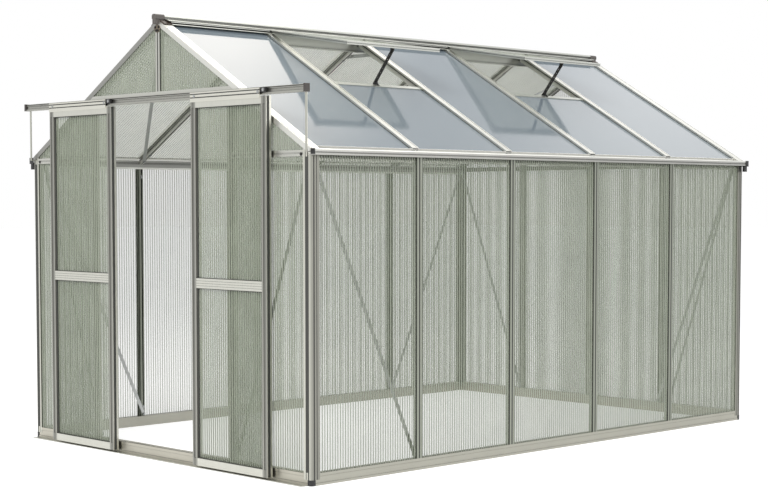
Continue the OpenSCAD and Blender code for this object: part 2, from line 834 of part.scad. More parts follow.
module roof_panes_right() {
  roof_sheets(1);
}

// ---------- door rail ----------
// Rail with a sunk face between two lips and a groove under its top edge
module door_rail() {
  lug_x = [-jamb_x + 30, 0, jamb_x - 30];
  l = rail_right - rail_left;
  color(alu) {
    translate([rail_left, front_y - rail_back - rail_d, rail_z]) difference() {
      cube([l, rail_d, rail_h]);
      translate([-1, -1, rail_h - 6]) cube([l + 2, 3.5, 4]);
      translate([-1, -1, 6]) cube([l + 2, 5, rail_h - 15]);
      translate([-1, 7, skin]) cube([l + 2, rail_d - 7 - skin, rail_h - 3 * skin]);
    }
    for (x = lug_x)
      translate([x - 20, front_y - rail_back - play, rail_z + 6]) cube([40, rail_back + play, 20]);
  }
}

module door_track() {
  color(alu) translate([rail_left, front_y - track_out, rail_z - track_t])
    cube([rail_right - rail_left, track_out - rail_back, track_t]);
}

module rail_end_caps() {
  color(grey) for (x = [rail_left - rail_cap_l, rail_right])
    translate([x, front_y - rail_back - rail_d - 4, rail_z - track_t])
      cube([rail_cap_l, rail_d + 8, rail_h + track_t + 2]);
}

// Straps that hang the ends of the rail's track on the feet of the verges
module rail_straps() {
  w = 12;
  t = 3;
  out = 18;
  foot_z = wall_top + 12;
  color(alu) for (side = [0, 1]) mirror([side, 0, 0]) translate([half_w - 1 - w, front_y, 0]) {
    translate([0, -out, foot_z]) cube([w, t, rail_z - track_t - play - foot_z]);
    translate([0, -out, foot_z]) cube([w, out - seat, t]);
  }
}

// ---------- door leaves ----------
// A leaf is drawn with its left foot at the origin and its face towards -Y
module leaf_frame() {
  h = leaf_top - leaf_foot;
  mid = mid_rail_z - leaf_foot;
  color(alu) difference() {
    cube([leaf_w, leaf_d, h]);
    translate([stile, -1, stile]) cube([leaf_w - 2 * stile, leaf_d + 2, mid - mid_h / 2 - stile]);
    translate([stile, -1, mid + mid_h / 2])
      cube([leaf_w - 2 * stile, leaf_d + 2, h - stile - mid - mid_h / 2]);
    // channel along each outer side, and a sunk band along each stile's face
    for (x = [-1, leaf_w - 5]) translate([x, 3, -1]) cube([6, leaf_d / 2, h + 2]);
    for (x = [8, leaf_w - 8 - 15]) translate([x, -1, stile]) cube([15, 2.5, h - 2 * stile]);
    // fine grooves along the middle rail
    for (i = [-1 : 1]) translate([stile, -1, mid + i * mid_h / 4 - 1]) cube([leaf_w - 2 * stile, 2, 2]);
  }
}

module leaf_panels() {
  h = leaf_top - leaf_foot;
  mid = mid_rail_z - leaf_foot;
  y = leaf_d / 2 - sheet / 2;
  gap = play;
  color(clear, 0.4) {
    translate([stile + gap, y, stile + gap])
      cube([leaf_w - 2 * stile - 2 * gap, sheet, mid - mid_h / 2 - stile - 2 * gap]);
    translate([stile + gap, y, mid + mid_h / 2 + gap])
      cube([leaf_w - 2 * stile - 2 * gap, sheet, h - stile - mid - mid_h / 2 - 2 * gap]);
  }
}

// Grooved strip that carries the leaf in front of the rail, short of the leaf's right edge
module leaf_hanger() {
  z0 = leaf_top - 9 - leaf_foot;
  z1 = rail_z + rail_h - 4 - leaf_foot;
  color(alu) translate([0, -hanger_t, z0]) difference() {
    cube([leaf_w - 40, hanger_t, z1 - z0]);
    for (z = [z1 - z0 - 11, z1 - z0 - 26]) translate([-1, -1, z]) cube([leaf_w, 3, 5]);
  }
}

// Two wheels on the track, and the block of the right-hand carriage beside the hanger
module leaf_wheels() {
  z = rail_z + play + wheel_d / 2 - leaf_foot;
  block_w = 30;
  color(black) {
    for (x = [30, leaf_w - 52])
      translate([x, 0, z]) rotate([-90, 0, 0]) cylinder(d = wheel_d, h = leaf_d - rail_d + play);
    translate([leaf_w - 2 - block_w, -hanger_t, rail_z + 6 - leaf_foot]) cube([block_w, 10, rail_h - 9]);
  }
}

module left_leaf() {
  translate([-leaf_w - left_open, front_y - leaf_out, leaf_foot]) children();
}

module right_leaf() {
  translate([right_open, front_y - leaf_out, leaf_foot]) children();
}

module door_left_frame() {
  left_leaf() leaf_frame();
}

module door_left_panels() {
  left_leaf() leaf_panels();
}

module door_left_hanger() {
  left_leaf() leaf_hanger();
}

module door_left_wheels() {
  left_leaf() leaf_wheels();
}

module door_right_frame() {
  right_leaf() leaf_frame();
}

module door_right_panels() {
  right_leaf() leaf_panels();
}

module door_right_hanger() {
  right_leaf() leaf_hanger();
}

module door_right_wheels() {
  right_leaf() leaf_wheels();
}

base_front();
base_back();
base_sides();
corner_feet();
door_guide();
corner_posts();
posts_left();
posts_right();
gutter_left();
gutter_right();
gutter_end_caps();
door_jambs();
door_header();
gable_bars_front();
gable_posts_back();
gable_bars_back();
ridge_beam();
ridge_end_caps();
apex_gussets();
rafters_left();
rafters_right();
verge_rafters();
collar_ties();
roof_braces();
wall_braces();
vent_sills();
vent_frames();
vent_panes();
vent_stays();
panes_left();
panes_right();
panes_front();
panes_back();
roof_panes_left();
roof_panes_right();
sheet_end_strips();
door_rail();
door_track();
rail_end_caps();
rail_straps();
door_left_frame();
door_left_panels();
door_left_hanger();
door_left_wheels();
door_right_frame();
door_right_panels();
door_right_hanger();
door_right_wheels();
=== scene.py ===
import math

import bpy
import numpy as np
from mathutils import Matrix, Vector


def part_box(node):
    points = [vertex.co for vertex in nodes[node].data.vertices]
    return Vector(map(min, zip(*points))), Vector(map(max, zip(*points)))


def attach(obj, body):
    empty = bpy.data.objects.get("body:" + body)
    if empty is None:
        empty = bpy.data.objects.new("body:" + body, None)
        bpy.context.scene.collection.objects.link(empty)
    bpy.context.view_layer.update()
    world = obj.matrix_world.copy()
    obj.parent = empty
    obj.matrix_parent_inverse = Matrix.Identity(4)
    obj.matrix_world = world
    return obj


# ---------------------------------------------------------------- frame
# An aluminium greenhouse, in metres: X across the gables, Y along the ridge, Z up. The CAD pieces
# are packed; this file gives them finishes and adds the ribs, seals, clips and bolts.
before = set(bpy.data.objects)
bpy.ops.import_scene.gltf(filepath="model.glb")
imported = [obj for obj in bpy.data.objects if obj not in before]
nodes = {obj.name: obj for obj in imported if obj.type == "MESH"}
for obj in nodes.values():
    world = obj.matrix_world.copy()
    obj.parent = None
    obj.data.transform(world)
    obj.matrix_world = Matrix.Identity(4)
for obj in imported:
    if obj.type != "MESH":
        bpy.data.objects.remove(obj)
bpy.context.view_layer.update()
scene = bpy.context.scene

# ---------------------------------------------------------------- camera
# Stands off the front right corner at chest height and looks slightly down
camera_data = bpy.data.cameras.new("camera")
camera_data.sensor_width = 36.0
camera_data.lens = 78.72
camera_data.shift_x = -0.0121
camera_data.shift_y = 0.0621
camera_data.clip_end = 100.0
camera = bpy.data.objects.new("camera", camera_data)
camera.location = (6.326, -6.2065, 1.195)
yaw, dip = math.radians(45.79), math.radians(3.25)
look = Vector((-math.sin(yaw) * math.cos(dip), math.cos(yaw) * math.cos(dip), -math.sin(dip)))
camera.rotation_euler = look.to_track_quat("-Z", "Y").to_euler()
scene.collection.objects.link(camera)
scene.camera = camera
scene.view_settings.view_transform = "Standard"


# ---------------------------------------------------------------- light
# A white studio: camera, mirror and glass rays see plain white, and a soft grey lights everything
# else. Five square lamps give the object its shape.
def add(tree, kind, settings=(), links=()):
    """Adds a node, sets its attributes and input values, and links other outputs to its inputs."""
    node = tree.nodes.new(kind)
    for name, value in dict(settings).items():
        if isinstance(name, int) or name in node.inputs:
            node.inputs[name].default_value = value
        else:
            setattr(node, name, value)
    for name, source in dict(links).items():
        tree.links.new(source, node.inputs[name])
    return node


def seen_rays(tree):
    """Socket that is 1 for camera, mirror and glass rays and 0 for the rest."""
    path = add(tree, "ShaderNodeLightPath")
    eye = add(tree, "ShaderNodeMath", {"operation": "MAXIMUM"},
              {0: path.outputs["Is Camera Ray"], 1: path.outputs["Is Glossy Ray"]})
    both = add(tree, "ShaderNodeMath", {"operation": "MAXIMUM"},
               {0: eye.outputs[0], 1: path.outputs["Is Transmission Ray"]})
    return both.outputs[0]


plain_white = (1.0, 1.0, 1.0, 1.0)
world = bpy.data.worlds.new("studio")
scene.world = world
world.use_nodes = True
tree = world.node_tree
tree.nodes.clear()
lit = add(tree, "ShaderNodeBackground", {"Color": (0.97, 0.98, 1.0, 1.0), "Strength": 0.55})
white = add(tree, "ShaderNodeBackground", {"Color": plain_white, "Strength": 1.0})
mix = add(tree, "ShaderNodeMixShader", {},
          {0: seen_rays(tree), 1: lit.outputs[0], 2: white.outputs[0]})
add(tree, "ShaderNodeOutputWorld", {}, {"Surface": mix.outputs[0]})

# Name, place, aim, size across, power and colour. The right slope mirrors the two skies, brightly
# over its first bay and faintly over its last ones.
daylight, low_sun = (1.0, 0.975, 0.94), (1.0, 0.92, 0.82)
for name, place, aim, size, power, colour in (
    ("key", (3.0, -7.0, 6.5), (0.0, 0.0, 1.0), 4.0, 480.0, daylight),
    ("fill", (7.5, 1.5, 4.0), (0.0, 0.0, 1.0), 4.0, 160.0, daylight),
    ("top", (-1.0, 1.0, 8.0), (0.0, 0.0, 1.0), 5.0, 200.0, daylight),
    ("near_sky", (-2.9, 2.3, 6.0), (0.5, -1.2, 1.7), 4.2, 162.0, low_sun),
    ("far_sky", (-2.4, 8.6, 6.0), (0.5, 1.2, 1.7), 5.0, 60.0, daylight),
):
    lamp = bpy.data.lights.new(name, "AREA")
    lamp.shape = "SQUARE"
    lamp.size = size
    lamp.energy = power
    lamp.color = colour
    if name.endswith("sky"):
        # Fades out from the middle, so that its mirror image in the roof has no edge
        lamp.use_nodes = True
        tree = lamp.node_tree
        spot = add(tree, "ShaderNodeNewGeometry").outputs["Parametric"]
        off = add(tree, "ShaderNodeVectorMath", {"operation": "DISTANCE", 1: (0.5, 0.5, 0.0)},
                  {0: spot})
        fade = add(tree, "ShaderNodeMapRange",
                   {"interpolation_type": "SMOOTHSTEP", "From Min": 0.05, "From Max": 0.5,
                    "To Min": 1.0, "To Max": 0.0}, {"Value": off.outputs["Value"]})
        tree.links.new(fade.outputs[0], tree.nodes["Emission"].inputs["Strength"])
    holder = bpy.data.objects.new(name, lamp)
    holder.location = place
    holder.rotation_euler = (Vector(aim) - Vector(place)).to_track_quat("-Z", "Y").to_euler()
    scene.collection.objects.link(holder)


# ---------------------------------------------------------------- floor
# Pale matt floor, a millimetre under the base rails. What the eye and mirrors see of it is lifted
# to white but for the object's shadow.
def linear(hex_colour):
    """sRGB #rrggbb as a linear RGBA tuple."""
    parts = [int(hex_colour[i:i + 2], 16) / 255 for i in (1, 3, 5)]
    return tuple(c / 12.92 if c <= 0.04045 else ((c + 0.055) / 1.055) ** 2.4
                 for c in parts) + (1.0,)


floor_reach, floor_gap = 60, 0.001
floor_mesh = bpy.data.meshes.new("floor")
floor_mesh.from_pydata([(a * floor_reach, b * floor_reach, 0)
                        for a, b in ((-1, -1), (1, -1), (1, 1), (-1, 1))], [], [(0, 1, 2, 3)])
floor = bpy.data.objects.new("floor", floor_mesh)
floor.location.z = -floor_gap
scene.collection.objects.link(floor)
floor_paint = bpy.data.materials.new("floor_paint")
floor_paint.use_nodes = True
tree = floor_paint.node_tree
tree.nodes.clear()
share = add(tree, "ShaderNodeMath", {"operation": "MULTIPLY", 1: 0.45}, {0: seen_rays(tree)})
matt = add(tree, "ShaderNodeBsdfDiffuse", {"Color": linear("#ededed")})
glow = add(tree, "ShaderNodeEmission", {"Color": plain_white, "Strength": 1.74})
mix = add(tree, "ShaderNodeMixShader", {},
          {0: share.outputs[0], 1: matt.outputs[0], 2: glow.outputs[0]})
add(tree, "ShaderNodeOutputMaterial", {}, {"Surface": mix.outputs[0]})
floor_mesh.materials.append(floor_paint)


# ---------------------------------------------------------------- base rails
# Mill-finish aluminium extrusions that lie on the ground and carry the posts. Rain and soil have
# weathered them to a dull grey. The side rails are a darker grey than the gables' rails: painted
# shade on the long walls' side.
def metal(name, colour, squeeze, spin=0.0, rough=0.36, streak=0.10, metallic=1.0):
    """Extruded or rolled metal: satin, with fine die lines, one to two millimetres apart (drawn
    four times coarser than real ones so that they show), slow cloudy changes of gloss, and painted
    shade with some dust in its grooves and corners. The lines run along the axis that squeeze
    leaves loose, after a turn of spin about Y. Colour is multiplied by the lines' tone and by how
    open each spot is, which is the painted shade."""
    material = bpy.data.materials.new(name)
    material.use_nodes = True
    tree = material.node_tree
    shader = tree.nodes["Principled BSDF"]
    where = add(tree, "ShaderNodeTexCoord").outputs["Object"]
    turned = add(tree, "ShaderNodeVectorRotate", {"rotation_type": "Y_AXIS", "Angle": spin},
                 {"Vector": where})
    pressed = add(tree, "ShaderNodeMapping", {"Scale": squeeze}, {"Vector": turned.outputs[0]})
    lines = add(tree, "ShaderNodeTexNoise", {"Scale": 1.0, "Detail": 2.0},
                {"Vector": pressed.outputs[0]})
    clouds = add(tree, "ShaderNodeTexNoise", {"Scale": 7.0, "Detail": 3.0}, {"Vector": where})
    tone = add(tree, "ShaderNodeMapRange", {"To Min": 1.0 - streak, "To Max": 1.0 + streak},
               {"Value": lines.outputs[0]})
    # Painted shade with some dust: the more closed in a spot is, the darker its colour, down to
    # 0.22 of it
    open_sky = add(tree, "ShaderNodeAmbientOcclusion",
                   {"samples": 6, "only_local": True, "Distance": 0.014})
    dust_and_shade = add(tree, "ShaderNodeMapRange",
               {"From Min": 0.50, "From Max": 0.97, "To Min": 0.22, "To Max": 1.0},
               {"Value": open_sky.outputs["AO"]})
    both = add(tree, "ShaderNodeMath", {"operation": "MULTIPLY"},
               {0: tone.outputs[0], 1: dust_and_shade.outputs[0]})
    tint = add(tree, "ShaderNodeVectorMath", {"operation": "SCALE", 0: linear(colour)[:3]},
               {"Scale": both.outputs[0]})
    gloss = add(tree, "ShaderNodeMapRange",
                {"From Min": 0.3, "From Max": 0.7, "To Min": rough - 0.05, "To Max": rough + 0.07},
                {"Value": clouds.outputs[0]})
    bump = add(tree, "ShaderNodeBump", {"Strength": 0.12, "Distance": 0.0004},
               {"Height": lines.outputs[0]})
    tree.links.new(tint.outputs[0], shader.inputs["Base Color"])
    tree.links.new(gloss.outputs[0], shader.inputs["Roughness"])
    tree.links.new(bump.outputs[0], shader.inputs["Normal"])
    shader.inputs["Metallic"].default_value = metallic
    return material


def finish(material, *names):
    """Gives CAD nodes their material."""
    for name in names:
        for holder in nodes[name].material_slots:
            holder.material = material


# Noise turns per metre across the lines and along them
fine, loose = 450.0, 3.0
lines_x, lines_y, lines_z = (loose, fine, fine), (fine, loose, fine), (fine, fine, loose)
finish(metal("weathered_aluminium_base_x", "#bbb8ac", lines_x), "base_front", "base_back")
# The side rails' darker grey is painted shade
finish(metal("weathered_aluminium_base_y_painted_shade", "#a9a89e", lines_y), "base_sides")


# ---------------------------------------------------------------- feet, gutter ends and caps
# Moulded nylon pieces pushed into the ends of the extrusions, and the doors' wheels: matt, with a
# fine spark-eroded grain. The caps up in the light have bleached to greys.
def moulded(name, colour, rough):
    """Matt plastic with a bump of fine grain."""
    material = bpy.data.materials.new(name)
    material.use_nodes = True
    tree = material.node_tree
    shader = tree.nodes["Principled BSDF"]
    where = add(tree, "ShaderNodeTexCoord").outputs["Object"]
    grain = add(tree, "ShaderNodeTexNoise", {"Scale": 900.0, "Detail": 1.0}, {"Vector": where})
    bump = add(tree, "ShaderNodeBump", {"Strength": 0.25, "Distance": 0.0003},
               {"Height": grain.outputs[0]})
    tree.links.new(bump.outputs[0], shader.inputs["Normal"])
    shader.inputs["Base Color"].default_value = linear(colour)
    shader.inputs["Roughness"].default_value = rough
    return material


black_nylon = moulded("black_nylon", "#222223", 0.42)
finish(black_nylon, "corner_feet", "gutter_end_caps", "door_left_wheels", "door_right_wheels")
finish(moulded("grey_nylon", "#54504d", 0.48), "ridge_end_caps")
finish(moulded("dark_grey_nylon", "#3c3836", 0.45), "rail_end_caps")


# ---------------------------------------------------------------- posts
# Extrusions that stand on the base rails, bolted through the slot behind them. The side posts are
# given a darker grey, and so are the corner posts' faces on the long walls' side: painted shade on
# the side that the light reaches less.
def paint_light_and_shade(material, share):
    """Multiplies a metal's colour by share, a painted light and shade: the brightness that light
    and shade would leave at each spot.
    """
    tree = material.node_tree
    base = tree.nodes["Principled BSDF"].inputs["Base Color"]
    painted_shade = add(tree, "ShaderNodeVectorMath", {"operation": "SCALE"},
               {0: base.links[0].from_socket, "Scale": share})
    tree.links.new(painted_shade.outputs[0], base)


def looks_along(tree, axis):
    """Socket with how squarely a face looks along an axis: its normal's part along it, unsigned."""
    normal = add(tree, "ShaderNodeNewGeometry").outputs["True Normal"]
    part = add(tree, "ShaderNodeSeparateXYZ", {}, {0: normal}).outputs[axis]
    return add(tree, "ShaderNodeMath", {"operation": "ABSOLUTE"}, {0: part}).outputs[0]


# The side posts' darker grey is painted shade
finish(metal("aluminium_posts_painted_shade", "#979b90", lines_z), "posts_left", "posts_right")
corner_metal = metal("aluminium_corners_painted_shade", "#c8c8be", lines_z)
side_shade_share = 0.45
tree = corner_metal.node_tree
# Painted shade: the corner posts' faces that look along X, on the long walls' side, are darkened by
# this share
painted_shade = add(tree, "ShaderNodeMapRange", {"clamp": False, "To Min": 1.0, "To Max": side_shade_share},
           {"Value": looks_along(tree, "X")})
paint_light_and_shade(corner_metal, painted_shade.outputs[0])
finish(corner_metal, "corner_posts")


# ---------------------------------------------------------------- gutters
# One extrusion with the eave plate inside the wall. Its colour is painted in bands by height: a
# painted highlight on its lip and its lower edge, painted shade on its face and bead, darkest in
# the groove between the face and the bead.
def painted_light_bands(tree, axis, first, *edges):
    """Painted light and shade in bands: a share of brightness that is first at the low end of an
    axis, and at each edge's place changes to that edge's share: first, plus the sum of every passed
    edge's change."""
    where = add(tree, "ShaderNodeTexCoord").outputs["Object"]
    place = add(tree, "ShaderNodeSeparateXYZ", {}, {0: where}).outputs[axis]
    total, share = None, first
    for at, new_share in edges:
        passed = add(tree, "ShaderNodeMath", {"operation": "GREATER_THAN", 1: at}, {0: place})
        step = add(tree, "ShaderNodeMath",
                   {"operation": "MULTIPLY_ADD", 1: new_share - share, 2: share},
                   {0: passed.outputs[0]})
        if total:
            tree.links.new(total.outputs[0], step.inputs[2])
        total, share = step, new_share
    return total.outputs[0]


gutter_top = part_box("gutter_right")[1][2]
gutter_metal = metal("aluminium_gutter_painted_light", "#f4f4ee", lines_y)
# Painted light and shade in bands up the gutter, from its lower edge to its lip
paint_light_and_shade(gutter_metal, painted_light_bands(
    gutter_metal.node_tree, "Z", 1.0, (gutter_top - 0.040, 0.46), (gutter_top - 0.0190, 0.24),
    (gutter_top - 0.0135, 0.50), (gutter_top - 0.0050, 1.0)))
finish(gutter_metal, "gutter_left", "gutter_right")

# ---------------------------------------------------------------- doorway and gable bars
# Plain mill-finish extrusions: jambs, header and the gables' bars, the leaves' guide on the
# threshold, and the straps that hang the rail's ends.
finish(metal("extruded_aluminium_x", "#c3c3bc", lines_x),
       "door_guide", "door_header", "gable_bars_front", "gable_bars_back")
finish(metal("extruded_aluminium_z", "#b7b7ae", lines_z),
       "door_jambs", "gable_posts_back", "rail_straps")

# ---------------------------------------------------------------- roof bars
# Ridge, rafters, verges and the vents' frames. The rafters and verges are a tone brighter than the
# walls' bars: painted light, for the sky that their tops reflect. The left verge is darker than the
# right one: painted shade.
slope = math.radians(30.0)
lit_roof_bar = "#d8d8d2"
finish(metal("extruded_aluminium_y", "#c2c4be", lines_y), "ridge_beam", "vent_sills", "vent_frames")
finish(metal("extruded_aluminium_right_slope", lit_roof_bar, lines_x, -slope), "rafters_right")
finish(metal("extruded_aluminium_left_slope", lit_roof_bar, lines_x, slope), "rafters_left")
verge_shaded_metal = metal("extruded_aluminium_verges_left_shaded", lit_roof_bar, lines_x, -slope)
# Painted shade: the left verge, below X = 0, is darkened to 0.46
paint_light_and_shade(verge_shaded_metal, painted_light_bands(verge_shaded_metal.node_tree, "X", 0.46, (0.0, 1.0)))
finish(verge_shaded_metal, "verge_rafters")
# Channels pressed over the lower ends of the roof's sheets, drawn white and not metallic: painted
# highlight, for the light that their faces catch
finish(metal("sheet_end_painted_highlight", "#f8f8f2", lines_y, rough=0.34, streak=0.04, metallic=0.0),
       "sheet_end_strips")

# ---------------------------------------------------------------- ties, braces, gussets and stays
# Flat zinc-plated strip, a little bluer and blotchier than the aluminium, bronze-grey coated plates
# and near-black coated bars, all bolted on. Paint over steel is only half metallic, and rolled
# steel has no die lines, so its noise turns as often each way.
zinc_turns, coat_turns = (60.0,) * 3, (90.0,) * 3
zinc = metal("zinc_plated_strip", "#b3b5b4", zinc_turns, rough=0.34, streak=0.16)
finish(zinc, "collar_ties", "roof_braces", "wall_braces")
painted = 0.35
finish(metal("bronze_coated_steel", "#6f6657", coat_turns, rough=0.42, metallic=painted),
       "apex_gussets")
dark_steel = metal("dark_coated_steel", "#2e2d2c", coat_turns, rough=0.40, streak=0.12,
                   metallic=painted)
finish(dark_steel, "vent_stays")

# ---------------------------------------------------------------- door rail and hangers
# The rail over the doors and its track are satin, and a tone darker than mill finish: painted
# shade, for the rail's face that lies back in shade. The grooved strips that hang the leaves in
# front of it are bright drawn.
finish(metal("aluminium_rail_painted_shade", "#acaca5", lines_x, rough=0.40, streak=0.08),
       "door_rail", "door_track")
finish(metal("bright_drawn_aluminium", "#d8d7cd", lines_x, rough=0.30, streak=0.08),
       "door_left_hanger", "door_right_hanger")

# ---------------------------------------------------------------- door leaves
# Frames of one extrusion cut to length: bright cross rails, and stiles whose faces towards the
# front and back are darkened with painted shade, most of all in their sunk bands.
stile, band_middle, band_half = 0.034, 0.0155, 0.0075
stile_shade_share, band_shade_extra = 0.55, 0.45
for side in ("left", "right"):
    low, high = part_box(f"door_{side}_frame")
    middle, half = (low[0] + high[0]) / 2, (high[0] - low[0]) / 2
    leaf_metal = metal(f"extruded_aluminium_{side}_leaf", "#cdcdc4", lines_z)
    tree = leaf_metal.node_tree
    where = add(tree, "ShaderNodeTexCoord").outputs["Object"]
    across = add(tree, "ShaderNodeSeparateXYZ", {}, {0: where}).outputs["X"]
    off = add(tree, "ShaderNodeMath", {"operation": "SUBTRACT", 1: middle}, {0: across})
    far = add(tree, "ShaderNodeMath", {"operation": "ABSOLUTE"}, {0: off.outputs[0]})
    on_stile = add(tree, "ShaderNodeMath", {"operation": "GREATER_THAN", 1: half - stile},
                   {0: far.outputs[0]})
    in_band = add(tree, "ShaderNodeMath",
                  {"operation": "COMPARE", 1: half - band_middle, 2: band_half},
                  {0: far.outputs[0]})
    # Painted shade on the stiles' faces towards the front and back, deeper in their sunk bands
    depth = add(tree, "ShaderNodeMath", {"operation": "MULTIPLY_ADD", 1: band_shade_extra},
                {0: in_band.outputs[0], 2: on_stile.outputs[0]})
    amount = add(tree, "ShaderNodeMath", {"operation": "MULTIPLY"},
                 {0: depth.outputs[0], 1: looks_along(tree, "Y")})
    painted_shade = add(tree, "ShaderNodeMapRange", {"clamp": False, "To Min": 1.0, "To Max": stile_shade_share},
               {"Value": amount.outputs[0]})
    paint_light_and_shade(leaf_metal, painted_shade.outputs[0])
    finish(leaf_metal, f"door_{side}_frame")


# ---------------------------------------------------------------- sheets
# Clear twin-wall polycarbonate, extruded in one with the ribs inside it, which are pieces of their
# own below. Its skins have a hard gloss and a slow ripple from the extruder.
polycarbonate_ior, sheet_gloss = 1.58, 0.07


def skin(name, colour, thin, thick):
    """Gloss coat over a haze that is thin seen square on and thickens as the eye comes down to the
    surface."""
    material = bpy.data.materials.new(name)
    material.use_nodes = True
    tree = material.node_tree
    shader = tree.nodes["Principled BSDF"]
    facing = add(tree, "ShaderNodeLayerWeight", {"Blend": 0.5})
    haze = add(tree, "ShaderNodeMapRange",
               {"From Min": 0.25, "From Max": 0.75, "To Min": thin, "To Max": thick},
               {"Value": facing.outputs["Facing"]})
    where = add(tree, "ShaderNodeTexCoord").outputs["Object"]
    ripple = add(tree, "ShaderNodeTexNoise", {"Scale": 4.0, "Detail": 1.0}, {"Vector": where})
    bump = add(tree, "ShaderNodeBump", {"Strength": 0.04, "Distance": 0.002},
               {"Height": ripple.outputs[0]})
    tree.links.new(haze.outputs[0], shader.inputs["Alpha"])
    tree.links.new(bump.outputs[0], shader.inputs["Normal"])
    shader.inputs["Base Color"].default_value = linear(colour)
    shader.inputs["Roughness"].default_value = sheet_gloss
    shader.inputs["IOR"].default_value = polycarbonate_ior
    return material


finish(skin("clear_polycarbonate_wall", "#848e78", 0.16, 0.60), "panes_left", "panes_right",
       "panes_front", "panes_back", "door_left_panels", "door_right_panels")
# The right slope's blue-grey haze is painted reflection of the sky
finish(skin("clear_polycarbonate_roof", "#737f89", 0.20, 0.94), "roof_panes_right")
# The left slope is seen mostly from below, where daylight comes through it and leaves it paler
finish(skin("clear_polycarbonate_lit_through", "#c6cabc", 0.12, 0.40),
       "roof_panes_left", "vent_panes")


# ---------------------------------------------------------------- ribs in the sheets
# The thin webs between the two skins of each sheet, 15 mm apart and of the same clear plastic, so
# they look white where the light runs along them. They are extruded with the skins, stand upright
# in the walls and run down the roof.
def piece_of(name, points, faces, body, material):
    """Object at the origin from points and faces, which rides on a body."""
    mesh = bpy.data.meshes.new(name)
    mesh.from_pydata(points.reshape(-1, 3).tolist(), [], faces)
    mesh.materials.append(material)
    piece = bpy.data.objects.new(name, mesh)
    scene.collection.objects.link(piece)
    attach(piece, body)
    return piece


def prisms(name, outline, start, end, side, up, body, material):
    """Closed prisms: each outline point (a, b) gives start + a*side + b*up and end + a*side + b*up.
    outline is (K, 2) or (N, K, 2); start and end are (N, 3); side and up are one vector or (N, 3).
    An outline that would turn a prism's faces inwards is run the other way round."""
    start, end = np.atleast_2d(start).astype(float), np.atleast_2d(end).astype(float)
    count = len(start)
    outline = np.broadcast_to(outline, (count,) + np.shape(outline)[-2:])
    side = np.broadcast_to(np.asarray(side, float), (count, 3))
    up = np.broadcast_to(np.asarray(up, float), (count, 3))
    ahead = np.roll(outline, -1, axis=1)
    area = (outline[..., 0] * ahead[..., 1] - outline[..., 1] * ahead[..., 0]).sum(1)
    inward = area * (np.cross(side, up) * (end - start)).sum(1) < 0
    outline = np.where(inward[:, None, None], outline[:, ::-1], outline)
    side, up = side[:, None, :], up[:, None, :]
    ring = outline[:, :, :1] * side + outline[:, :, 1:] * up
    points = np.stack([ring + start[:, None, :], ring + end[:, None, :]], 1)
    k = outline.shape[1]
    this, after = np.arange(k), (np.arange(k) + 1) % k
    walls = np.stack([this, after, after + k, this + k], 1)
    shift = np.arange(count)[:, None, None] * 2 * k
    faces = (walls[None] + shift).reshape(-1, 4).tolist()
    faces += (this[None, ::-1] + shift[:, 0]).tolist() + (this[None] + k + shift[:, 0]).tolist()
    return piece_of(name, points, faces, body, material)


def solids(name):
    """Corner points and edges of each separate solid of a CAD node: every point starts with its own
    number, and each edge passes on the lower of its two until none changes."""
    mesh = nodes[name].data
    co = np.empty(len(mesh.vertices) * 3, np.float32)
    mesh.vertices.foreach_get("co", co)
    pairs = np.empty(len(mesh.edges) * 2, np.int32)
    mesh.edges.foreach_get("vertices", pairs)
    points, same = np.unique(np.round(co.reshape(-1, 3), 5), axis=0, return_inverse=True)
    pairs = same.reshape(-1)[pairs.reshape(-1, 2)]
    label = np.arange(len(points))
    while True:
        low = np.minimum(label[pairs[:, 0]], label[pairs[:, 1]])
        new = label.copy()
        np.minimum.at(new, pairs[:, 0], low)
        np.minimum.at(new, pairs[:, 1], low)
        if (new == label).all():
            break
        label = new
    return [(points, pairs[label[pairs[:, 0]] == which]) for which in np.unique(label)]


# A thin clear web seen edge-on scatters like pale plastic, so it is drawn opaque, in slow bands a
# hand wide that are a little lighter and darker, as the extruder leaves them
rib_plastic = bpy.data.materials.new("extruded_polycarbonate_rib")
rib_plastic.use_nodes = True
tree = rib_plastic.node_tree
shader = tree.nodes["Principled BSDF"]
where = add(tree, "ShaderNodeTexCoord").outputs["Object"]
bands = add(tree, "ShaderNodeTexNoise", {"Scale": 9.0, "Detail": 1.0}, {"Vector": where})
tone = add(tree, "ShaderNodeMapRange",
           {"From Min": 0.3, "From Max": 0.7, "To Min": 0.88, "To Max": 1.05},
           {"Value": bands.outputs[0]})
tint = add(tree, "ShaderNodeVectorMath", {"operation": "SCALE", 0: linear("#cfd4ca")[:3]},
           {"Scale": tone.outputs[0]})
tree.links.new(tint.outputs[0], shader.inputs["Base Color"])
shader.inputs["Roughness"].default_value = 0.3
shader.inputs["IOR"].default_value = polycarbonate_ior
rib_gap, rib_web, sheet_skin, rib_short = 0.015, 0.0011, 0.0008, 0.002


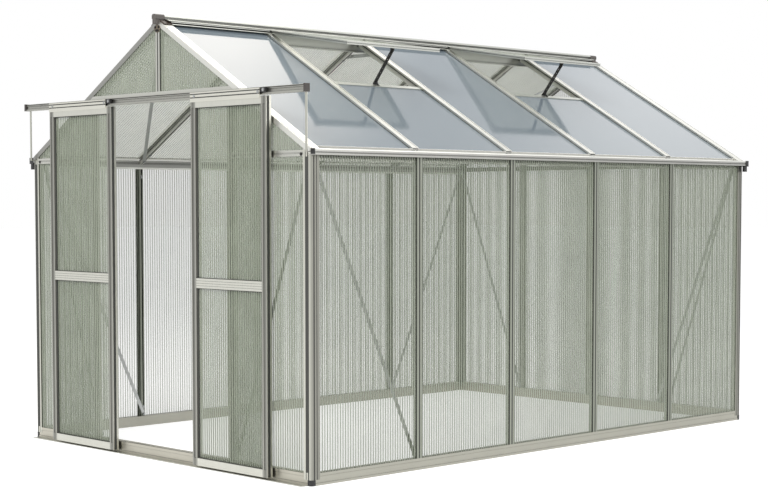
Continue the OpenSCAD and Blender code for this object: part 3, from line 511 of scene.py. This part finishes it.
def ribs(node, across, along, out, body):
    """Webs at even steps across each sheet. Each one's line crosses the sheet's edges at places
    found in proportion along each edge, and the web runs from the lowest of them to the highest,
    cut a little short at both ends."""
    across, along, out = (np.array(v, float) for v in (across, along, out))
    starts, ends, tiny = [], [], 1e-6
    for points, pairs in solids(node):
        u, v, n = points @ across, points @ along, points @ out
        a, b = pairs.T
        low, high = u[pairs].min(), u[pairs].max()
        count = int(round((high - low) / rib_gap))
        at = low + (np.arange(count) + 0.5) * (high - low) / count
        left, right = np.minimum(u[a], u[b]), np.maximum(u[a], u[b])
        run = np.where(np.abs(u[b] - u[a]) < tiny, 1.0, u[b] - u[a])
        hit = v[a] + (at[:, None] - u[a]) / run * (v[b] - v[a])
        crossed = (left < at[:, None] - tiny) & (right > at[:, None] + tiny)
        foot = np.where(crossed, hit, np.inf).min(1) + rib_short
        head = np.where(crossed, hit, -np.inf).max(1) - rib_short
        base = at[:, None] * across + (n[pairs].min() + n[pairs].max()) / 2 * out
        starts.append(base + foot[:, None] * along)
        ends.append(base + head[:, None] * along)
        half = (n[pairs].max() - n[pairs].min()) / 2 - sheet_skin
    web = rib_web / 2
    box = np.array([(-web, -half), (web, -half), (web, half), (-web, half)])
    return prisms(node + "_ribs", box, np.concatenate(starts), np.concatenate(ends), across, out,
                  body, rib_plastic)


x_axis, y_axis, z_axis = (1, 0, 0), (0, 1, 0), (0, 0, 1)
right_up = np.array((-math.cos(slope), 0, math.sin(slope)))
left_up = np.array((math.cos(slope), 0, math.sin(slope)))
right_out = np.array((math.sin(slope), 0, math.cos(slope)))
left_out = np.array((-math.sin(slope), 0, math.cos(slope)))
# The vents' lids stand 21 degrees off the roof
lid = slope - math.radians(21.0)
lid_down = np.array((math.cos(lid), 0, -math.sin(lid)))
lid_out = np.array((math.sin(lid), 0, math.cos(lid)))
ribs("panes_left", y_axis, z_axis, x_axis, "frame")
ribs("panes_right", y_axis, z_axis, x_axis, "frame")
ribs("panes_front", x_axis, z_axis, y_axis, "frame")
ribs("panes_back", x_axis, z_axis, y_axis, "frame")
ribs("roof_panes_right", y_axis, right_up, right_out, "frame")
ribs("roof_panes_left", y_axis, left_up, left_out, "frame")
ribs("vent_panes", y_axis, -lid_down, lid_out, "frame")
ribs("door_left_panels", x_axis, z_axis, y_axis, "door_left")
ribs("door_right_panels", x_axis, z_axis, y_axis, "door_right")

# ---------------------------------------------------------------- seals in the bars
# Black strips laid in the groove along the face of each upright bar: painted shade in the groove. A
# lip of black EPDM rubber shows on the sheet along both sides of the cap. Rubber is duller than
# nylon.
epdm = moulded("black_epdm_rubber", "#3b3c39", 0.65)


def strips(name, boxes, body):
    """Straight rubber bars given by two opposite corners, each with its four long edges taken off
    by a third of its smaller half width."""
    boxes = np.sort(np.array(boxes, float), axis=1)
    size = boxes[:, 1] - boxes[:, 0]
    long = size.argmax(1)
    eye = np.eye(3)
    side, up = eye[(long + 1) % 3], eye[(long + 2) % 3]
    pick = np.arange(len(boxes))
    w, h = size[pick, (long + 1) % 3] / 2, size[pick, (long + 2) % 3] / 2
    c = np.minimum(w, h) * 0.35
    outline = np.stack([np.stack(point, 1) for point in (
        (-w, -h + c), (-w + c, -h), (w - c, -h), (w, -h + c),
        (w, h - c), (w - c, h), (-w + c, h), (-w, h - c))], 1)
    middle = boxes.mean(1)
    reach = eye[long] * size[pick, long][:, None] / 2
    return prisms(name, outline, middle - reach, middle + reach, side, up, body,
                  epdm)


corner_low, corner_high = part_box("corner_posts")
half_w, front, back = corner_high[0], corner_low[1], corner_high[1]
posts_low, posts_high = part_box("posts_right")
header_low, header_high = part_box("door_header")
cap, bar_foot, wall_top = 0.015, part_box("base_sides")[1][2], posts_high[2] - 0.001
bays = np.linspace(posts_low[1] + cap, posts_high[1] - cap, 4)
groove, groove_top, groove_floor = 0.0038, 0.0006, 0.0019
lip_top, lip_foot, lip_tuck, lip_show = 0.0012, 0.0039, 0.0004, 0.0026
groove_shade_strips, lips = [], []
for y in bays:
    for x, out in ((half_w, 1), (-half_w, -1)):
        groove_shade_strips.append([(x - out * groove_top, y - groove, bar_foot),
                       (x - out * groove_floor, y + groove, wall_top)])
        for edge in (-1, 1):
            lips.append([(x - out * lip_foot, y + edge * (cap - lip_tuck), bar_foot),
                         (x - out * lip_top, y + edge * (cap + lip_show), wall_top)])
# Across, gable's face, outwards, foot and head of each upright of the gables
jamb, below_header, above_header = 0.525, header_low[2] - 0.003, header_high[2] + 0.002
for x, y, out, low, top in (
    (-jamb, front, -1, bar_foot, below_header), (jamb, front, -1, bar_foot, below_header),
    (-jamb, back, 1, bar_foot, 1.69), (0.0, back, 1, bar_foot, 1.99),
    (jamb, back, 1, bar_foot, 1.69), (0.0, front, -1, above_header, 1.975),
):
    groove_shade_strips.append([(x - groove, y - out * groove_top, low),
                   (x + groove, y - out * groove_floor, top)])
    for edge in (-1, 1):
        lips.append([(x + edge * (cap - lip_tuck), y - out * lip_foot, low),
                     (x + edge * (cap + lip_show), y - out * lip_top, top - 0.004)])
# The black strips in the bars' grooves are painted shade
strips("bar_groove_painted_shade", groove_shade_strips, "frame")
strips("bar_lip_seals", lips, "frame")

# ---------------------------------------------------------------- seals in the corner posts
# The same rubber fills the two grooves on each leg of a corner post, beside its round nose. A flat
# dark strip of it lies over both grooves on the gables' side: painted shade, for the leg's recessed
# face there.
fit, seal_top, seal_floor, post_foot, seal_head = 0.0002, 0.0008, 0.0019, 0.026, 1.386
shade_from, shade_to, shade_t, shade_foot = 0.0142, 0.0352, 0.0007, 0.056
grooves, leg_shade_strips = [], []
for x, out_x in ((half_w, 1), (-half_w, -1)):
    for y, out_y in ((front, -1), (back, 1)):
        for near, wide in ((0.014, 0.007), (0.031, 0.004)):
            from_nose, to_nose = near + fit, near + wide - fit
            grooves.append([(x - out_x * from_nose, y - out_y * seal_top, post_foot),
                            (x - out_x * to_nose, y - out_y * seal_floor, wall_top)])
            grooves.append([(x - out_x * seal_top, y - out_y * from_nose, post_foot),
                            (x - out_x * seal_floor, y - out_y * to_nose, seal_head)])
        leg_shade_strips.append([(x - out_x * shade_from, y, shade_foot),
                       (x - out_x * shade_to, y + out_y * shade_t, seal_head)])
strips("corner_groove_seals", grooves, "frame")
# Painted shade over the corner posts' recessed legs on the gables' side
strips("corner_leg_painted_shade", leg_shade_strips, "frame")

# ---------------------------------------------------------------- door seals
# Brush pile slid into the channel down both edges of each leaf, where the leaves meet and pass the
# jambs, and a rubber seal pushed in round each of its two sheets.
leaf_w, mid_rail, mid_rail_h = 0.525, 0.834, 0.044
brush_near, brush_far, brush_short, edge_inset = 0.0034, 0.0166, 0.002, 0.0064
brush_left, brush_right = 0.0016, 0.0048
seal_near, seal_far, seal_w, seal_h = 0.0045, 0.0109, 0.008, 0.003
for side in ("left", "right"):
    low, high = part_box(f"door_{side}_frame")
    x0, y0, z0, z1 = low[0], low[1], low[2], high[2]
    brush = [[(x + brush_left, y0 + brush_near, z0 + brush_short),
              (x + brush_right, y0 + brush_far, z1 - brush_short)]
             for x in (x0, x0 + leaf_w - edge_inset)]
    strips(f"door_{side}_brushes", brush, f"door_{side}")
    ring = []
    near, far = y0 + seal_near, y0 + seal_far
    left, right = x0 + stile, x0 + leaf_w - stile
    for bottom, top in ((z0 + stile, mid_rail - mid_rail_h / 2),
                        (mid_rail + mid_rail_h / 2, z1 - stile)):
        ring += [
            [(left + fit, near, bottom), (left + seal_w, far, top)],
            [(right - seal_w, near, bottom), (right - fit, far, top)],
            [(left + seal_w, near, bottom + fit), (right - seal_w, far, bottom + seal_h)],
            [(left + seal_w, near, top - seal_h), (right - seal_w, far, top - fit)],
        ]
    strips(f"door_{side}_seals", ring, f"door_{side}")

# ---------------------------------------------------------------- seals under the rafters' caps
# Rubber lips that show along both sides of each raised cap, and black nylon plugs pushed into the
# lower ends of the hollow caps.
rafter_cap, verge_cap, eave = 0.040, 0.050, 1.414
lip_start, lip_end, plug_start, plug_depth = 0.036, 0.052, 0.0302, 0.006
slope_length = half_w / math.cos(slope)
lip_length = slope_length - lip_start - lip_end
right_eave, left_eave = np.array((half_w, 0, eave)), np.array((-half_w, 0, eave))
roof_sides = ((right_eave, right_up, right_out), (left_eave, left_up, left_out))
lip_rows, plug_rows = [], []
for corner, up_slope, outward in roof_sides:
    runs = [(y, edge * rafter_cap / 2) for y in bays for edge in (-1, 1)]
    runs += [(front, verge_cap), (back, -verge_cap)]
    for y, off in runs:
        foot = corner + (0, y + off, 0) + lip_start * up_slope
        lip_rows.append((foot, foot + lip_length * up_slope, outward, np.sign(off)))
    for y in bays:
        foot = corner + (0, y, 0) + plug_start * up_slope
        plug_rows.append((foot, foot + plug_depth * up_slope, outward))
starts, ends, normals, signs = (np.array(column) for column in zip(*lip_rows))
lip = np.array([(-0.0004, -0.0030), (0.0024, -0.0038), (0.0026, -0.0032), (0.0006, -0.0014),
                (-0.0004, -0.0012)])
lip = lip[None] * np.stack([signs, np.ones(len(signs))], 1)[:, None, :]
prisms("rafter_lip_seals", lip, starts, ends, y_axis, normals, "frame", epdm)
starts, ends, normals = (np.array(column) for column in zip(*plug_rows))
plug = np.array([(-0.0168, 0.0008), (-0.0162, 0.0002), (0.0162, 0.0002), (0.0168, 0.0008),
                 (0.0168, 0.0032), (0.0162, 0.0038), (-0.0162, 0.0038), (-0.0168, 0.0032)])
prisms("rafter_cap_plugs", plug, starts, ends, y_axis, normals, "frame",
       black_nylon)

# ---------------------------------------------------------------- rail groove shade
# Black rubber strip in the groove along the top of the door rail: painted shade in the groove.
end_short = 0.001
low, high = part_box("door_rail")
strips("rail_groove_painted_shade", [[(low[0] + end_short, low[1] + 0.0006, high[2] - 0.0058),
                               (high[0] - end_short, low[1] + 0.0023, high[2] - 0.0022)]], "frame")

# ---------------------------------------------------------------- hanger groove shade
# The same black strip in the two grooves along the front of each leaf's hanger: painted shade in
# the grooves. It travels with the leaf.
for side in ("left", "right"):
    low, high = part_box(f"door_{side}_hanger")
    grooves = [[(low[0] + end_short, low[1] + 0.0004, high[2] - down + 0.0002),
                (high[0] - end_short, low[1] + 0.0018, high[2] - down + 0.0048)]
               for down in (0.011, 0.026)]
    strips(f"door_{side}_hanger_groove_shade", grooves, f"door_{side}")

# ---------------------------------------------------------------- ridge clips
# Dark brown moulded nylon clips with bevelled shoulders, snapped over the top ends of the verges'
# caps beside the ridge's hoods.
clip_brown = moulded("dark_brown_nylon", "#382f28", 0.45)
apex = eave + half_w * math.tan(slope)
clip_below_apex, clip_length = 0.016, 0.034
clip = np.array([(0.000, 0.0072), (0.004, 0.0072), (0.046, 0.0072), (0.0508, 0.0072),
                 (0.0508, 0.0098), (0.0478, 0.0128), (0.003, 0.0128), (0.000, 0.0098)])
clip_rows = []
for _, up_slope, outward in roof_sides:
    for y, inward in ((front, 1), (back, -1)):
        head = np.array((0, y, apex)) - up_slope * clip_below_apex
        clip_rows.append((head - up_slope * clip_length, head, (0, inward, 0), outward))
starts, ends, sides, normals = (np.array(column) for column in zip(*clip_rows))
prisms("ridge_clips", clip, starts, ends, sides, normals, "frame", clip_brown)

# ---------------------------------------------------------------- stay lugs
# Bent strip lugs, coated dark like the stays, fixed under each vent's lower bar with a cheek on
# each side of the stay.
hinge_x, vent_l, vent_rail = 0.046, 0.545, 0.028
hinge = np.array((hinge_x, 0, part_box("vent_frames")[1][2]))
middles = [(bays[0] + bays[1]) / 2, (bays[2] + bays[3]) / 2]
lug_root = hinge + lid_down * (vent_l - vent_rail / 2)
cheek = np.array([(-0.010, -0.0158), (0.010, -0.0158), (0.010, -0.024),
                  (0.006, -0.034), (-0.006, -0.034), (-0.010, -0.024)])


def cheeks(root, thick):
    """Where the two cheeks beside each stay start and end along Y: 2.3 mm off its middle, and thick
    metres further out."""
    off = 0.0023
    spans = [(y + near, y + far) for y in middles
             for near, far in ((off, off + thick), (-off - thick, -off))]
    return [root + (0, near, 0) for near, _ in spans], [root + (0, far, 0) for _, far in spans]


starts, ends = cheeks(lug_root, 0.0018)
prisms("stay_lugs", cheek, starts, ends, lid_down, lid_out, "frame", dark_steel)

# ---------------------------------------------------------------- stay pin brackets
# Moulded black nylon brackets on the sills under the vents: a foot on the sill's cap, and two
# cheeks that rise past the stay and hold it by a pin through one of its holes.
sill_root = right_eave + right_up * 0.694
cheek = np.array([(-0.016, 0.0003), (0.010, 0.0003), (0.019, 0.004), (0.019, 0.011),
                  (0.015, 0.015), (0.008, 0.015), (-0.004, 0.0045), (-0.016, 0.0035)])
starts, ends = cheeks(sill_root, 0.0025)
prisms("stay_pin_brackets", cheek, starts, ends, right_up, right_out, "frame",
       black_nylon)


# ---------------------------------------------------------------- gusset and eave bolts
# Dark hexagon bolts on washers: four hold each gusset plate to the verges, and one goes through
# each end of the eave bars beside the verges' feet, with a low head that clears the leaves.
def bolts(name, places, facing, body, flats=0.010, material=zinc,
          tall=0.52):
    """Washer and chamfered hexagon head turned about each place's outward direction. A ring's
    radius at angle t is half the width across flats over the cosine of t's distance from the
    nearest flat's middle. tall is the head's height as a share of its width across flats."""
    places, facing = np.array(places, float), np.array(facing, float)
    facing = np.broadcast_to(facing, places.shape) / np.linalg.norm(facing, axis=-1, keepdims=True)
    start = np.where(np.abs(facing[:, 2:]) < 0.9, np.array((0, 0, 1.0)), np.array((1.0, 0, 0)))
    side = np.cross(start, facing)
    side /= np.linalg.norm(side, axis=1, keepdims=True)
    up = np.cross(facing, side)
    corners = 12
    turn = np.arange(corners) * math.tau / corners
    hexagon = flats / 2 / np.cos((turn + math.pi / 6) % (math.pi / 3) - math.pi / 6)
    disc = np.full(corners, flats)
    seat, washer_t = 0.0001, 0.0012
    rings = [(0.02 * disc, seat), (0.95 * disc, seat), (0.95 * disc, washer_t), (hexagon, washer_t),
             (hexagon, washer_t + flats * (tall - 0.08)), (0.42 * disc, washer_t + flats * tall),
             (0.02 * disc, washer_t + flats * tall)]
    radius = np.array([r for r, _ in rings])
    height = np.array([h for _, h in rings])
    a, b = radius * np.cos(turn), radius * np.sin(turn)
    points = (places[:, None, None] + a[None, :, :, None] * side[:, None, None]
              + b[None, :, :, None] * up[:, None, None]
              + height[None, :, None, None] * facing[:, None, None])
    row, col = np.meshgrid(np.arange(len(rings) - 1), np.arange(corners), indexing="ij")
    here, after = row * corners + col, row * corners + (col + 1) % corners
    quads = np.stack([here, after, after + corners, here + corners], -1).reshape(-1, 4)
    shift = np.arange(len(places))[:, None, None] * corners * len(rings)
    faces = (quads[None] + shift).reshape(-1, 4).tolist()
    faces += (np.arange(corners)[None, ::-1] + shift[:, 0]).tolist()
    faces += (np.arange(corners)[None] + corners * (len(rings) - 1) + shift[:, 0]).tolist()
    return piece_of(name, points, faces, body, material)


gusset_t, low_head = 0.00225, 0.20
gusset_holes = ((-0.013, 0.028), (0.013, 0.028), (-0.006, 0.043), (0.006, 0.043))
gables = ((front, -1), (back, 1))
bolts("gusset_bolts",
      [(x, y + out * gusset_t, apex - down) for y, out in gables for x, down in gusset_holes],
      [(0, out, 0) for _, out in gables for _ in gusset_holes],
      "frame", 0.007, dark_steel)
eave_holes, eave_bolt_z = (-1.0, -0.552, 0.552, 1.0), 1.397
bolts("eave_bolts", [(x, y, eave_bolt_z) for y, _ in gables for x in eave_holes],
      [(0, out, 0) for _, out in gables for _ in eave_holes],
      "frame", 0.008, dark_steel, low_head)

# ---------------------------------------------------------------- brace and tie bolts
# Zinc-plated hexagon bolts on washers, which face the room: one at each end of the braces in the
# walls and under the left slope, and of the flat ties under the ridge.
brace_back, brace_t, brace_in = 0.032, 0.002, 0.046
brace_top, brace_low = 1.379, 0.064
places, facing = [], []
for out in (1, -1):
    x = out * (half_w - brace_back - brace_t)
    for y, z in ((front + brace_in, brace_top), (bays[0], brace_low),
                 (back - brace_in, brace_top), (bays[3], brace_low)):
        places.append((x, y, z))
        facing.append((-out, 0, 0))
    for y, inward in ((front + brace_back + 2 * brace_t, 1), (back - brace_back - 2 * brace_t, -1)):
        for x, z in ((out * (half_w - brace_in), brace_top), (out * jamb, brace_low)):
            places.append((x, y, z))
            facing.append((0, inward, 0))
bolts("brace_bolts", places, facing, "frame")

tie_x, tie_drop, tie_face = 0.096, 0.023, 0.01125
tie_z = apex - tie_x * math.tan(slope) - tie_drop / math.cos(slope)
bolts("tie_bolts", [(x, y + tie_face, tie_z) for y in (bays[1], bays[2]) for x in (-tie_x, tie_x)],
      y_axis, "frame")
brace_foot, brace_head = 0.046, slope_length - 0.060
bolts("roof_brace_bolts",
      [left_eave + left_up * at - left_out * brace_back + (0, y, 0) for at, y in
       ((brace_foot, bays[0]), (brace_head, front + brace_in),
        (brace_foot, bays[3]), (brace_head, back - brace_in))], -left_out, "frame")

# ---------------------------------------------------------------- slot bolts
# Zinc-plated bolts in the slots behind the side posts and the rafters, a hand's width from their
# ends, where the base rails, eave plates and ridge hold them.
bar_depth, wall_bolt_z = 0.030, (0.100, 1.330)
roof_bolt_at = (0.110, slope_length - 0.150)
places, facing = [], []
for (corner, up_slope, outward), out in zip(roof_sides, (1, -1)):
    for y in bays:
        for z in wall_bolt_z:
            places.append((out * (half_w - bar_depth), y, z))
            facing.append((-out, 0, 0))
        for at in roof_bolt_at:
            places.append(corner + (0, y, 0) + up_slope * at - outward * bar_depth)
            facing.append(-outward)
bolts("slot_bolts", places, facing, "frame")

# ---------------------------------------------------------------- stay pins
# Small dark headed pins: the pivot through each lug, and the pin that holds the stay in its
# bracket, with a head on either cheek.
pivot = lug_root - lid_out * 0.028
pin = sill_root + right_up * 0.0126 + right_out * 0.009
places = [at + (0, y + side * off, 0) for at, off in ((pivot, 0.0041), (pin, 0.0048))
          for y in middles for side in (1, -1)]
bolts("stay_pins", places, [(0, side, 0) for _ in range(4) for side in (1, -1)], "frame", 0.006,
      dark_steel)

# ---------------------------------------------------------------- door bolts
# Zinc-plated bolts with low heads on the front of the hangers: the wheels' axles, and the bolt of
# each right-hand carriage block. They travel with the leaves.
hanger_t, axle_z, block_z, hanger_head = 0.003, 1.6665, 1.6735, 0.22
axles, block = (0.030, 0.473), 0.508
for side in ("left", "right"):
    low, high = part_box(f"door_{side}_frame")
    face = low[1] - hanger_t
    bolts(f"door_{side}_axle_bolts", [(low[0] + x, face, axle_z) for x in axles], (0, -1, 0),
          f"door_{side}", 0.008, tall=hanger_head)
    bolts(f"door_{side}_carriage_bolts", [(low[0] + block, face, block_z)], (0, -1, 0),
          f"door_{side}", 0.008, tall=hanger_head)
